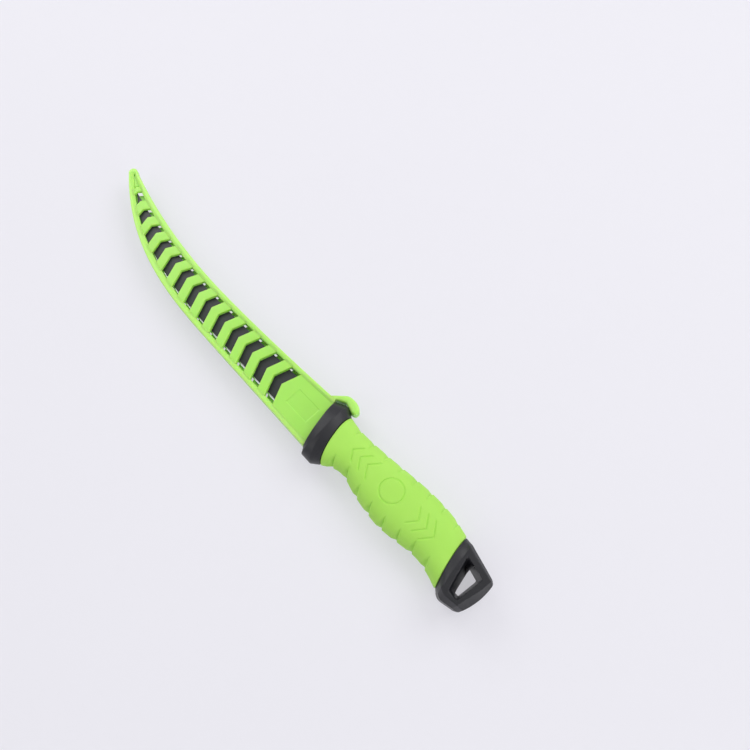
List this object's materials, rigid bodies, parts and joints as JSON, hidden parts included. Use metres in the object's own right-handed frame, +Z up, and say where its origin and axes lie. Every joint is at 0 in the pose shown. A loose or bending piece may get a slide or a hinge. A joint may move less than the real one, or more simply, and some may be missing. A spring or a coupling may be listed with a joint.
{
  "type": "fishing fillet knife with sheath",
  "caption": "Slim curved fillet knife with a soft notched grip, black bolster and pommel with a lanyard hole, in a slotted clip-on sheath that draws off.",
  "frame": {"origin": "under the middle of the whole sheathed knife, on the surface that it lies on", "axes": "+X from the sheath's nose to the butt of the handle, +Y to the spine side, +Z up out of the side that it lies on"},
  "size_m": [0.3432, 0.0458, 0.026],
  "materials": {
    "blade_steel": "matt black coating with a bright ground edge",
    "black_plastic": "fine spark-eroded texture",
    "green_rubber": "soft matt overmould",
    "green_plastic": "satin moulded"
  },
  "bodies": {
    "knife": {"blade": "blade_steel", "handle_core": "black_plastic", "bolster": "black_plastic", "grip": "green_rubber", "pommel": "black_plastic"},
    "sheath": {"sheath": "green_plastic"},
    "catch": {"sheath_catch": "green_plastic"}
  },
  "joints": [
    {"name": "sheath_draw", "type": "hinge", "parent": "knife", "child": "sheath", "pos_m": [-0.0301, 0.77005, 0.013], "axis": [0, 0, -1], "range_deg": [0, 16], "deforming": ["sheath_catch"]},
    {"name": "catch_flex", "type": "hinge", "parent": "sheath", "child": "catch", "pos_m": [0.03101, 0.01291, 0.013], "axis": [0, 0, 1], "range_deg": [0, 10], "stiffness_Nm_per_rad": 0.03}
  ]
}
